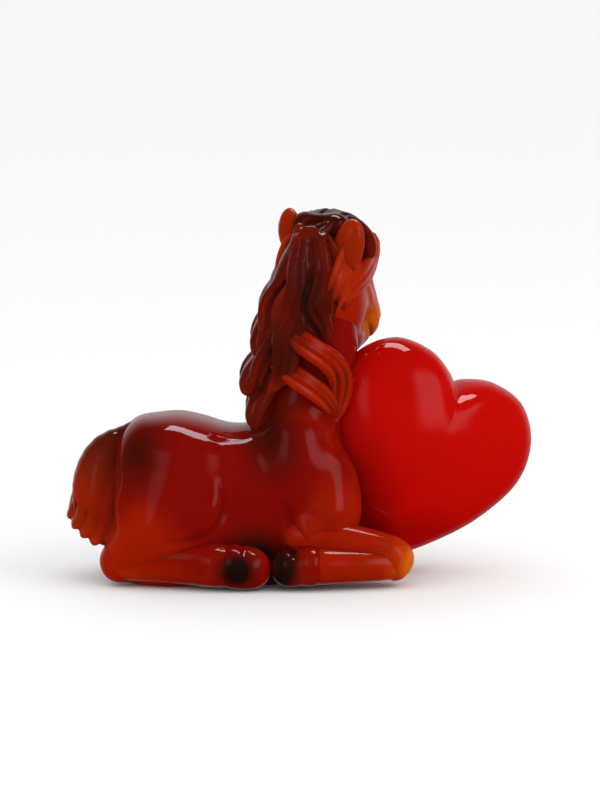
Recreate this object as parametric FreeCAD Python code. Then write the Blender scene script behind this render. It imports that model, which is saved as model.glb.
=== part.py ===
"""Lying horse with a heart: a solid-glass figurine assembled from separately pressed and drawn pieces.

The horse lies with its legs folded under it and faces +X.  It turns its head to its left (+Y) and rests
its chin on a puffed heart that leans on its chest.  Every piece is one closed solid.  The pieces are
bonded face to face: a softer piece is cut to the seat that its neighbour leaves.
Units are millimetres.  +Z is up and Z = 0 is the surface that the figurine stands on.
"""

import FreeCAD
import Part
import math
import os

from FreeCAD import Vector

# ---- driving dimensions -------------------------------------------------------------------------
BACK_Z = 28.0            # lowest point of the back, between withers and croup
CROUP_Z = 30.2           # highest point of the croup
FLANK_Y = 12.4           # half width of the barrel
THIGH_Y = 15.2           # half width over the thighs
SHOULDER_Y = 13.2        # half width over the shoulders
RUMP_X = -34.6           # rear end of the torso
CHEST_X = 10.4           # front of the chest

POLL = Vector(4.2, 0.6, 58.8)      # centre of the skull, behind the ears
HEAD_YAW = 60.0                    # degrees that the head turns from +X towards +Y
HEAD_PITCH = 46.0                  # degrees that the nose points down
HEAD_LENGTH = 21.4                 # poll centre to the end of the lips

HEART_WIDTH = 39.6
HEART_HEIGHT = 39.2
HEART_THICKNESS = 19.5
HEART_TIP = Vector(13.4, 2.0, 3.2)
HEART_YAW = 16.0                   # degrees that the heart's right lobe swings towards +Y
HEART_LEAN = 22.5                  # degrees that the heart leans towards +X

EYE_RADIUS = 1.3
LEG_RADIUS = 3.3                   # cannon, just above the fetlock
HOOF_RADIUS = 3.9
LOCK_Y = 7.8                       # how far the swept locks start from the middle of the neck
UPPER_LOCK = Vector(-3.0, 0, 46.6)
LOWER_LOCK = Vector(-4.6, 0, 42.0)
FLOOR_CUT = 60.0                   # half size of the block that trims the base flat

POINTS_PER_RING = 12


# ---- helpers ------------------------------------------------------------------------------------
def unit(v):
    return Vector(v).normalize()


def ring(centre, along, up, high, low, side):
    """Closed smooth section square to `along`: `high` and `low` above and below the centre, `side` each way."""
    along = unit(along)
    up = unit(up - along * up.dot(along))
    across = along.cross(up)
    points = []
    for k in range(POINTS_PER_RING):
        a = 2 * math.pi * k / POINTS_PER_RING
        rise = (high if math.cos(a) > 0 else low) * math.cos(a)
        points.append(centre + up * rise + across * (side * math.sin(a)))
    curve = Part.BSplineCurve()
    curve.interpolate(points, PeriodicFlag=True)
    return Part.Wire([curve.toShape()])


def loft(rings):
    """Closed solid skinned through the rings, first to last."""
    solid = Part.makeLoft(rings, True, False)
    if solid.Volume < 0:
        solid.reverse()
    return solid


def strand(path, up):
    """Drawn rod or lock: path holds (centre, half height, half width); each section is square to the path."""
    rings = []
    last = len(path) - 1
    for i, (centre, half_height, half_width) in enumerate(path):
        ahead = path[min(i + 1, last)][0]
        behind = path[max(i - 1, 0)][0]
        rings.append(ring(centre, ahead - behind, up, half_height, half_height, half_width))
    return loft(rings)


def ellipsoid(centre, rx, ry, rz):
    matrix = FreeCAD.Matrix()
    matrix.scale(rx, ry, rz)
    ball = Part.makeSphere(1.0).transformGeometry(matrix)
    ball.translate(centre)
    return ball


def largest(shape):
    """The biggest solid of a boolean result, so that no crumb is left beside a piece."""
    return max(shape.Solids, key=lambda s: s.Volume)


def seated(piece, *neighbours):
    """The piece with a seat cut for each neighbour that it is bonded to."""
    for other in neighbours:
        piece = largest(piece.cut(other))
    return piece


def mirrored(piece):
    return piece.mirror(Vector(0, 0, 0), Vector(0, 1, 0))


def on_floor(piece):
    """The piece with its underside ground flat at Z = 0."""
    below = Part.makeBox(2 * FLOOR_CUT, 2 * FLOOR_CUT, FLOOR_CUT, Vector(-FLOOR_CUT, -FLOOR_CUT, -FLOOR_CUT))
    return largest(piece.cut(below))


# ---- body: torso, thighs, shoulders and neck in one pressing --------------------------------------
def torso():
    # x, top z, bottom z, half width
    stations = [
        (RUMP_X, 21.0, 7.0, 4.0),
        (RUMP_X + 1.4, 25.8, 2.0, 8.2),
        (RUMP_X + 4.6, 29.7, -2.0, 11.4),
        (RUMP_X + 10.0, CROUP_Z, -3.0, 13.0),
        (RUMP_X + 16.0, CROUP_Z - 0.7, -3.0, 13.0),
        (RUMP_X + 22.0, BACK_Z, -3.0, FLANK_Y),
        (RUMP_X + 28.0, BACK_Z - 0.2, -3.0, FLANK_Y),
        (CHEST_X - 10.4, BACK_Z, -3.0, FLANK_Y),
        (CHEST_X - 5.6, BACK_Z - 2.0, -3.0, 11.6),
        (CHEST_X - 2.0, BACK_Z - 5.5, -1.0, 9.2),
        (CHEST_X, BACK_Z - 11.0, 4.0, 4.6),
    ]
    rings = []
    for x, top, bottom, half_width in stations:
        middle = Vector(x, 0, (top + bottom) / 2)
        half_height = (top - bottom) / 2
        rings.append(ring(middle, Vector(1, 0, 0), Vector(0, 0, 1), half_height, half_height, half_width))
    return loft(rings)


def neck():
    # centre, half length along x, half width along y
    stations = [
        (Vector(0.0, 0.0, 14.0), 9.4, 10.4),
        (Vector(0.0, 0.0, 22.0), 9.6, 10.2),
        (Vector(0.0, 0.0, 29.0), 8.2, 8.8),
        (Vector(0.6, 0.2, 36.0), 7.4, 7.4),
        (Vector(1.6, 0.4, 43.5), 6.8, 6.6),
        (Vector(3.0, 0.5, 50.5), 6.3, 6.2),
        (POLL - Vector(0.4, 0.1, 1.6), 5.4, 5.6),
    ]
    return loft([ring(c, Vector(0, 0, 1), Vector(1, 0, 0), hx, hx, hy) for c, hx, hy in stations])


def make_body():
    shape = torso()
    for side in (-1, 1):
        thigh = ellipsoid(Vector(RUMP_X + 10.6, side * (THIGH_Y - 6.6), 17.0), 9.6, 6.6, 11.4)
        shoulder = ellipsoid(Vector(CHEST_X - 8.0, side * (SHOULDER_Y - 5.6), 16.5), 8.2, 5.6, 11.0)
        shape = shape.fuse([thigh, shoulder])
    shape = shape.fuse(neck())
    return on_floor(shape)


# ---- head, ears and eyes --------------------------------------------------------------------------
def head_axes():
    """Unit vectors along the nose, up through the forehead, and out to the horse's left cheek."""
    yaw = math.radians(HEAD_YAW)
    pitch = math.radians(HEAD_PITCH)
    nose = Vector(math.cos(yaw) * math.cos(pitch), math.sin(yaw) * math.cos(pitch), -math.sin(pitch))
    left = Vector(-math.sin(yaw), math.cos(yaw), 0)
    brow = nose.cross(left)
    return nose, brow, left


def head_point(along, up, left):
    nose, brow, cheek = head_axes()
    return POLL + nose * along + brow * up + cheek * left


def make_head():
    nose, brow, _ = head_axes()
    # distance along the nose, height of the brow line, depth of the jaw, half width
    stations = [
        (-5.4, 2.6, 2.4, 2.4),
        (-4.0, 5.2, 4.8, 4.8),
        (-0.4, 6.6, 7.0, 6.4),
        (4.2, 6.2, 7.8, 6.5),
        (8.8, 5.2, 6.4, 5.4),
        (13.0, 4.3, 4.8, 4.2),
        (16.8, 4.0, 4.3, 4.1),
        (HEAD_LENGTH - 1.8, 3.4, 3.7, 3.7),
        (HEAD_LENGTH, 1.6, 1.9, 2.1),
    ]
    return loft([ring(head_point(t, 0, 0), nose, brow, high, low, wide) for t, high, low, wide in stations])


def make_ear(side):
    """Upright leaf-shaped ear on the poll; side is +1 for the horse's left."""
    nose, _, left = head_axes()
    root = head_point(-1.0, 0.8, side * 5.2)
    lift = unit(Vector(0, 0, 1) + left * (0.34 * side))
    face = unit(nose - left * (0.5 * side))
    # height above the root, half thickness, half width
    path = [(0.0, 1.8, 2.4), (2.6, 1.8, 3.1), (5.2, 1.4, 2.8), (7.0, 0.9, 1.7), (7.8, 0.4, 0.7)]
    return loft([ring(root + lift * t, lift, face, thick, thick, wide) for t, thick, wide in path])


def make_eye(side):
    return ellipsoid(head_point(5.6, 2.4, side * 5.3), EYE_RADIUS, EYE_RADIUS, EYE_RADIUS)


# ---- heart ----------------------------------------------------------------------------------------
def heart_axes():
    """Unit vectors across the lobes, up from the tip to the cleft, and through the thickness."""
    yaw = math.radians(HEART_YAW)
    lean = math.radians(HEART_LEAN)
    level = Vector(math.cos(yaw), math.sin(yaw), 0)
    through = Vector(-math.sin(yaw), math.cos(yaw), 0)
    across = level * math.cos(lean) - Vector(0, 0, 1) * math.sin(lean)
    rise = level * math.sin(lean) + Vector(0, 0, 1) * math.cos(lean)
    return across, rise, through


def heart_outline(share, depth):
    """Heart section `depth` from the middle plane, shrunk to `share` of the full outline."""
    across, rise, through = heart_axes()
    middle_height = 0.56 * HEART_HEIGHT
    # half width and height of the outline, as shares of the heart's own width and height
    half = [(0.0, 0.0), (0.215, 0.185), (0.385, 0.40), (0.49, 0.65), (0.465, 0.85), (0.325, 0.985),
            (0.155, 0.985), (0.0, 0.915)]
    outline = half + [(-w, h) for w, h in reversed(half[1:-1])]
    points = []
    for w, h in outline:
        side = w * HEART_WIDTH * share
        height = middle_height + (h * HEART_HEIGHT - middle_height) * share
        points.append(HEART_TIP + across * side + rise * height + through * depth)
    curve = Part.BSplineCurve()
    curve.interpolate(points, PeriodicFlag=True)
    return Part.Wire([curve.toShape()])


def make_heart():
    half_thickness = HEART_THICKNESS / 2
    sections = []
    for tilt in (-80, -62, -42, -20, 0, 20, 42, 62, 80):
        a = math.radians(tilt)
        sections.append(heart_outline(math.cos(a), half_thickness * math.sin(a)))
    return loft(sections)


# ---- hair: forelock, mane and tail ----------------------------------------------------------------
def make_forelock():
    brow = head_axes()[1]
    path = [
        (head_point(-4.6, 4.6, 0.0), 1.4, 2.4),
        (head_point(-2.6, 6.8, 0.0), 2.1, 3.8),
        (head_point(1.0, 7.8, 0.0), 2.2, 4.2),
        (head_point(5.0, 6.9, 0.0), 1.8, 3.4),
        (head_point(8.6, 5.6, 0.0), 1.0, 1.8),
        (head_point(10.4, 4.8, 0.0), 0.4, 0.7),
    ]
    return strand(path, brow)


def make_crest():
    """Mane along the top of the neck, from the poll to the withers."""
    path = [
        (Vector(3.8, -0.6, 66.2), 1.6, 2.6),
        (Vector(1.6, -0.8, 63.0), 3.8, 5.2),
        (Vector(0.0, -0.8, 57.6), 4.5, 6.2),
        (Vector(-1.7, -0.8, 51.0), 4.7, 6.8),
        (Vector(-3.1, -0.8, 44.0), 4.9, 7.2),
        (Vector(-4.5, -0.8, 37.6), 4.8, 6.8),
        (Vector(-5.8, -0.8, 32.0), 4.0, 5.0),
        (Vector(-7.4, -0.8, 28.4), 1.8, 2.2),
    ]
    return strand(path, Vector(1, 0, 0))


def make_side_mane(side):
    """Curtain of hair that hangs over one side of the neck; side is +1 for the horse's left."""
    path = [
        (Vector(4.2, side * 3.6, 63.4), 1.6, 2.6),
        (Vector(2.6, side * 6.4, 57.4), 2.2, 5.0),
        (Vector(1.4, side * 7.4, 51.0), 2.4, 6.2),
        (Vector(0.8, side * 8.0, 45.0), 2.2, 6.0),
        (Vector(0.8, side * 8.6, 39.6), 1.2, 3.6),
    ]
    return strand(path, Vector(0, 1, 0))


def make_swept_lock(side, start):
    """Lock that leaves the mane at `start` and sweeps forward and down over the shoulder."""
    # step from the start: forward, outward, down; then half thickness and half width
    steps = [
        (0.0, 0.0, 0.0, 1.2, 2.0),
        (3.4, 1.1, -4.4, 1.7, 2.9),
        (7.6, 1.4, -8.0, 1.8, 3.1),
        (11.2, 0.9, -12.0, 1.5, 2.6),
        (11.6, 0.4, -16.4, 0.7, 1.3),
    ]
    return strand([(start + Vector(dx, side * dy, dz), t, w) for dx, dy, dz, t, w in steps], Vector(0, 1, 0))


def make_cheek_lock(side):
    """Lock from the forelock that crosses the cheek towards the throat."""
    path = [
        (head_point(4.6, 6.6, side * 2.4), 0.7, 1.2),
        (head_point(4.6, 4.2, side * 5.0), 1.0, 1.8),
        (head_point(2.6, 0.4, side * 6.0), 1.1, 2.0),
        (head_point(0.8, -3.4, side * 5.8), 1.0, 1.7),
        (head_point(-0.6, -6.4, side * 5.0), 0.5, 0.9),
    ]
    left = head_axes()[2]
    return strand(path, left)


def make_tail():
    path = [
        (Vector(-29.6, 0.0, 27.8), 1.4, 2.4),
        (Vector(-32.6, -0.5, 25.4), 3.2, 4.6),
        (Vector(-35.6, -1.2, 21.2), 4.4, 6.6),
        (Vector(-37.2, -1.8, 15.8), 4.8, 7.8),
        (Vector(-37.2, -2.2, 11.4), 4.4, 7.6),
        (Vector(-36.2, -2.4, 7.6), 3.0, 5.4),
        (Vector(-35.2, -2.4, 5.2), 1.0, 2.0),
    ]
    return strand(path, Vector(1, 0, 0))


# ---- legs, for the horse's right side; the left ones are mirrored -----------------------------------
def make_forearm():
    path = [
        (Vector(-1.0, -9.4, 9.2), 3.4, 2.8),
        (Vector(3.6, -10.2, 8.6), 4.0, 3.6),
        (Vector(9.0, -10.4, 7.6), 3.9, 3.9),
        (Vector(14.0, -10.2, 6.8), 3.7, 3.8),
        (Vector(17.6, -9.8, 5.6), 3.3, 3.5),
        (Vector(19.6, -9.6, 4.6), 2.4, 2.4),
        (Vector(20.4, -9.5, 4.0), 1.0, 1.0),
    ]
    return on_floor(strand(path, Vector(0, 0, 1)))


def make_fore_cannon():
    path = [
        (Vector(3.4, -13.6, 3.1), LEG_RADIUS, LEG_RADIUS),
        (Vector(8.0, -12.8, 2.6), LEG_RADIUS - 0.3, LEG_RADIUS - 0.1),
        (Vector(13.0, -11.6, 2.4), LEG_RADIUS - 0.3, LEG_RADIUS - 0.1),
        (Vector(17.4, -10.6, 2.6), LEG_RADIUS - 0.1, LEG_RADIUS),
        (Vector(19.6, -10.2, 2.8), 2.0, 2.2),
        (Vector(20.4, -10.0, 2.8), 0.9, 0.9),
    ]
    return on_floor(strand(path, Vector(0, 0, 1)))


def make_fore_hoof():
    path = [
        (Vector(3.4, -13.6, 3.1), LEG_RADIUS, LEG_RADIUS),
        (Vector(1.0, -14.0, 3.1), LEG_RADIUS - 0.3, LEG_RADIUS - 0.2),
        (Vector(-1.6, -14.0, 2.7), HOOF_RADIUS - 0.4, HOOF_RADIUS - 0.4),
        (Vector(-3.6, -13.6, 2.3), HOOF_RADIUS - 0.6, HOOF_RADIUS - 0.2),
        (Vector(-4.6, -13.4, 2.1), 2.4, 2.8),
    ]
    return on_floor(strand(path, Vector(0, 0, 1)))


def make_hind_cannon():
    path = [
        (Vector(-35.8, -8.0, 4.2), 1.2, 1.2),
        (Vector(-34.8, -8.2, 4.3), 3.2, 3.0),
        (Vector(-32.0, -9.2, 4.4), 4.5, 4.2),
        (Vector(-26.0, -10.8, 4.2), 4.6, 4.4),
        (Vector(-19.0, -12.2, 3.9), 4.2, 4.0),
        (Vector(-13.4, -13.2, 3.7), 3.8, 3.7),
    ]
    return on_floor(strand(path, Vector(0, 0, 1)))


def make_hind_hoof():
    path = [
        (Vector(-13.4, -13.2, 3.7), 3.8, 3.7),
        (Vector(-10.8, -13.5, 3.6), HOOF_RADIUS, HOOF_RADIUS - 0.1),
        (Vector(-8.2, -13.6, 3.1), HOOF_RADIUS - 0.3, HOOF_RADIUS - 0.2),
        (Vector(-6.4, -13.6, 2.5), 2.6, 2.8),
        (Vector(-5.6, -13.6, 2.2), 1.1, 1.2),
    ]
    return on_floor(strand(path, Vector(0, 0, 1)))


# ---- assembly -------------------------------------------------------------------------------------
def make_parts():
    parts = {}
    heart = make_heart()
    parts["heart"] = heart
    body = seated(make_body(), heart)
    parts["body"] = body
    head = seated(make_head(), body, heart)

    for side, name in ((1, "left"), (-1, "right")):
        eye = make_eye(side)
        head = seated(head, eye)
        parts["eye_" + name] = eye
    parts["head"] = head
    for side, name in ((1, "left"), (-1, "right")):
        parts["ear_" + name] = seated(make_ear(side), head)

    # legs: hind and fore cannons are bonded to the body, hooves to the cannons
    right = {
        "hind_cannon": make_hind_cannon(),
        "hind_hoof": make_hind_hoof(),
        "forearm": make_forearm(),
        "fore_cannon": make_fore_cannon(),
        "fore_hoof": make_fore_hoof(),
    }
    for side, flip in (("right", False), ("left", True)):
        leg = {n: mirrored(s) if flip else s for n, s in right.items()}
        hind_cannon = seated(leg["hind_cannon"], body)
        forearm = seated(leg["forearm"], body, heart)
        fore_cannon = seated(leg["fore_cannon"], body, forearm, heart)
        parts["hind_cannon_" + side] = hind_cannon
        parts["hind_hoof_" + side] = seated(leg["hind_hoof"], body, hind_cannon)
        parts["forearm_" + side] = forearm
        parts["fore_cannon_" + side] = fore_cannon
        parts["fore_hoof_" + side] = seated(leg["fore_hoof"], body, forearm, fore_cannon)

    # hair: each piece lies on the glass beneath it
    ears = [parts["ear_left"], parts["ear_right"]]
    crest = seated(make_crest(), body, head, *ears)
    parts["mane_crest"] = crest
    forelock = seated(make_forelock(), head, crest, *ears)
    parts["forelock"] = forelock
    for side, name in ((1, "left"), (-1, "right")):
        curtain = seated(make_side_mane(side), body, head, crest, *ears)
        upper = seated(make_swept_lock(side, UPPER_LOCK + Vector(0, side * LOCK_Y, 0)), body, crest, curtain, heart)
        lower = seated(make_swept_lock(side, LOWER_LOCK + Vector(0, side * LOCK_Y, 0)), body, crest, curtain,
                       upper, heart)
        cheek = seated(make_cheek_lock(side), head, body, curtain, forelock, parts["ear_" + name])
        parts["mane_curtain_" + name] = curtain
        parts["mane_upper_lock_" + name] = upper
        parts["mane_lower_lock_" + name] = lower
        parts["cheek_lock_" + name] = cheek
    legs = [parts["hind_cannon_" + side] for side in ("left", "right")]
    parts["tail"] = seated(make_tail(), body, *legs)
    return parts


def footprint_middle(parts):
    """Middle of the whole figurine's box, on the floor."""
    boxes = [shape.optimalBoundingBox(False) for shape in parts.values()]
    x = (min(b.XMin for b in boxes) + max(b.XMax for b in boxes)) / 2
    y = (min(b.YMin for b in boxes) + max(b.YMax for b in boxes)) / 2
    return Vector(x, y, 0)


def main():
    os.makedirs("parts", exist_ok=True)
    parts = make_parts()
    middle = footprint_middle(parts)
    print("footprint middle", [round(v, 3) for v in middle])
    for name, shape in parts.items():
        shape.translate(-middle)
        shape.exportStep(os.path.join("parts", name + ".step"))
        box = shape.optimalBoundingBox(False)
        corners = (box.XMin, box.YMin, box.ZMin, box.XMax, box.YMax, box.ZMax)
        print(name, "valid" if shape.isValid() else "INVALID", round(shape.Volume, 1), "mm3",
              [round(v, 1) for v in corners])


main()
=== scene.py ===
import math

import bpy
import numpy as np
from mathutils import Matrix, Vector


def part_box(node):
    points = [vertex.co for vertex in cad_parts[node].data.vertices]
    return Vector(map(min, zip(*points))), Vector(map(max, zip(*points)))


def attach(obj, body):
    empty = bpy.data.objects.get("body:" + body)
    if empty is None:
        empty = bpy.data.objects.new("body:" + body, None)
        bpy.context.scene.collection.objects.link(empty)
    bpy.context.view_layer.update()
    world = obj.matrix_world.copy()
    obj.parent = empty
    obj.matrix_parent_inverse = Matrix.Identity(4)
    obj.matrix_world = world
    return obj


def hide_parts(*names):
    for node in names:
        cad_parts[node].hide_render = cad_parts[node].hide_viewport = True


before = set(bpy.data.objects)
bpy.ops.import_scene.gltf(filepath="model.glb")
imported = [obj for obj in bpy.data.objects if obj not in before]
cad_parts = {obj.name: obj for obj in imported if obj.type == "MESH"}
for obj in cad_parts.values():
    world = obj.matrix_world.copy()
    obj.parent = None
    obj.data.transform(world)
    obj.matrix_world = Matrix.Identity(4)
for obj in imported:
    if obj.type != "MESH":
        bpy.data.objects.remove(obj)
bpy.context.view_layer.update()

import openvdb
from mathutils import Matrix, Vector

# ---- studio ---------------------------------------------------------------------------------------
# A round white table top in an evenly lit white tent, seen from slightly above.  A softbox overhead,
# a bright wall behind and two soft windows in front show in the polish; a lamp fills one side.
TABLE_RADIUS = 6.0
CAMERA_ELEVATION = 8.0
CAMERA_DISTANCE = 0.72
FRAME_WIDTH = 0.1099                # what the camera sees across, at the figurine
AIM_HEIGHT = 0.0329
TENT_LIGHT = 1.09                   # brightness of the tent on matt surfaces and in the background

scene = bpy.context.scene
scene.view_settings.view_transform = "Standard"
scene.view_settings.look = "None"


def disc(name, radius, steps=96):
    """Flat round table top at height 0."""
    turns = [2 * math.pi * k / steps for k in range(steps)]
    points = [(0, 0, 0)] + [(radius * math.cos(a), radius * math.sin(a), 0) for a in turns]
    faces = [(0, k + 1, (k + 1) % steps + 1) for k in range(steps)]
    mesh = bpy.data.meshes.new(name)
    mesh.from_pydata(points, [], faces)
    top = bpy.data.objects.new(name, mesh)
    scene.collection.objects.link(top)
    return top


def put(tree, slot, value):
    """Gives an input a plain value, or links it to another socket."""
    if isinstance(value, bpy.types.NodeSocket):
        tree.links.new(value, slot)
    else:
        slot.default_value = value


def mix(tree, factor, a, b, kind="RGBA"):
    """Mix of two colours, or of two numbers if the kind is FLOAT."""
    node = tree.nodes.new("ShaderNodeMix")
    node.data_type = kind
    for key, value in (("Factor", factor), ("A", a), ("B", b)):
        put(tree, node.inputs[key], value)
    return node.outputs["Result"]


def white_lacquer():
    """Pale matt table top with a very faint mottle."""
    material = bpy.data.materials.new("white_table")
    material.use_nodes = True
    tree = material.node_tree
    shader = tree.nodes["Principled BSDF"]
    shader.inputs["Roughness"].default_value = 0.6
    shader.inputs["Specular IOR Level"].default_value = 0.2
    mottle = tree.nodes.new("ShaderNodeTexNoise")
    mottle.inputs["Scale"].default_value = 3.0
    tone = mix(tree, mottle.outputs["Fac"], (0.935, 0.935, 0.94, 1), (0.95, 0.95, 0.95, 1))
    put(tree, shader.inputs["Base Color"], tone)
    return material


table = disc("table_top", TABLE_RADIUS)
table.data.materials.append(white_lacquer())
table.visible_glossy = False        # the polish mirrors the tent, not the table


def panel(name, place, aim, width, height, power):
    """Rectangular softbox at `place`, turned to `aim`, sizes in metres and power in watts."""
    light = bpy.data.lights.new(name, "AREA")
    light.shape = "RECTANGLE"
    light.size = width
    light.size_y = height
    light.energy = power
    lamp = bpy.data.objects.new(name, light)
    lamp.location = place
    lamp.rotation_euler = (Vector(aim) - Vector(place)).to_track_quat("-Z", "Y").to_euler()
    scene.collection.objects.link(lamp)
    return lamp


middle = (0, 0, 0.03)
softbox = panel("overhead_softbox", (0.05, 0.09, 0.50), middle, 0.38, 0.14, 0.9)
softbox.visible_diffuse = False     # only seen as a highlight; the tent gives the even light
fill = panel("side_fill", (0.42, -0.22, 0.42), middle, 0.40, 0.30, 0.8)
fill.visible_glossy = False

world = bpy.data.worlds.new("tent")
scene.world = world
world.use_nodes = True
tent = world.node_tree
sky = tent.nodes["Background"]
ray = tent.nodes.new("ShaderNodeLightPath")
where = tent.nodes.new("ShaderNodeTexCoord")
split = tent.nodes.new("ShaderNodeSeparateXYZ")
put(tent, split.inputs["Vector"], where.outputs["Generated"])
rightward, backward, upward = (split.outputs[axis] for axis in "XYZ")


def ramp(tree, value, start, end, low=0, high=1):
    """Smooth step from `low` at `start` to `high` at `end`."""
    node = tree.nodes.new("ShaderNodeMapRange")
    node.interpolation_type = "SMOOTHSTEP"
    for key, given in (("Value", value), ("From Min", start), ("From Max", end), ("To Min", low),
                       ("To Max", high)):
        put(tree, node.inputs[key], given)
    return node.outputs["Result"]


def calculate(tree, operation, *given):
    """Arithmetic on sockets or plain numbers."""
    node = tree.nodes.new("ShaderNodeMath")
    node.operation = operation
    for slot, value in zip(node.inputs, given):
        put(tree, slot, value)
    return node.outputs["Value"]


def soft_window(left, right, sill, head, strength):
    """Soft-edged window in the front of the tent, between two places across and two heights."""
    glow = ramp(tent, backward, -0.05, -0.30, 0, strength)
    for value, start, end in ((rightward, left, left + 0.16), (rightward, right, right - 0.16),
                              (upward, sill, sill + 0.22), (upward, head, head - 0.12)):
        glow = calculate(tent, "MULTIPLY", glow, ramp(tent, value, start, end))
    return glow


# what the polish mirrors: a bright wall behind the figurine and two soft windows in a dark room
wall = calculate(tent, "MULTIPLY", ramp(tent, backward, 0.35, 0.95, 0.02, 0.55),
                 ramp(tent, upward, -0.5, 0.1, 0.35, 1.0))
windows = calculate(tent, "ADD", soft_window(-0.62, -0.20, 0.10, 0.72, 0.22),
                    soft_window(0.38, 0.86, 0.05, 0.76, 0.55))
mirrored = calculate(tent, "ADD", wall, windows)
put(tent, sky.inputs["Strength"], mix(tent, ray.outputs["Is Glossy Ray"], TENT_LIGHT, mirrored, "FLOAT"))
sky.inputs["Color"].default_value = (1, 1, 1, 1)

lens = bpy.data.cameras.new("camera")
lens.sensor_fit = "HORIZONTAL"
lens.sensor_width = 36
lens.lens = 36 * CAMERA_DISTANCE / FRAME_WIDTH
camera = bpy.data.objects.new("camera", lens)
tilt = math.radians(CAMERA_ELEVATION)
aim = Vector((0, 0, AIM_HEIGHT))
camera.location = aim + CAMERA_DISTANCE * Vector((0, -math.cos(tilt), math.sin(tilt)))
camera.rotation_euler = (math.pi / 2 - tilt, 0, 0)
scene.collection.objects.link(camera)
scene.camera = camera

# ---- body -----------------------------------------------------------------------------------------
# Torso, haunches, shoulders and neck in one pressing of cloudy amber glass, fire-polished, with a
# belly ground flat to stand on.  The mould leaves soft creases at the stifle, elbow and flank.
MM = 0.001
FAR = 4.0                           # a voxel never holds more than this distance, in millimetres
# Painted light: the glass colour is painted brighter where little glass lies beneath the skin.
LIT_DEPTHS = (1.2, 2.4, 4.0)        # the less glass there is down to these depths, the more light
SKIN_LIGHT = 0.8                    # how lit the glass would be with none beneath it
# Painted shade: skin with other skin close in front of it, in creases and grooves, is painted darker.
CREASE_REACH = 0.8                  # skin with other skin this close in front of it is a crease
CREASE_SHADE = 0.5                  # how dark a crease looks


def corners(node):
    """Lowest and highest corner of a node of the frame, in millimetres."""
    return (np.array(corner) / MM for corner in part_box(node))


def blend_min(a, b, soft):
    """Smaller of two distances, with the corner between them rounded over `soft` millimetres."""
    h = np.maximum(soft - np.abs(a - b), 0) / soft
    return np.minimum(a, b) - h * h * h * (soft / 6)


def smooth_path(points, count):
    """`count` points along a smooth curve through the given rows of numbers."""
    p = np.array(points, float)
    if len(p) == 2:
        return p[0] + (p[1] - p[0]) * np.linspace(0, 1, count)[:, None]
    p = np.vstack([2 * p[0] - p[1], p, 2 * p[-1] - p[-2]])
    at = np.linspace(0, len(p) - 3, count)
    k = np.minimum(at.astype(int), len(p) - 4)
    t = (at - k)[:, None]
    a, b, c, d = p[k], p[k + 1], p[k + 2], p[k + 3]
    return 0.5 * (2 * b + (c - a) * t + (2 * a - 5 * b + 4 * c - d) * t**2 + (3 * b - a - 3 * c + d) * t**3)


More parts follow.
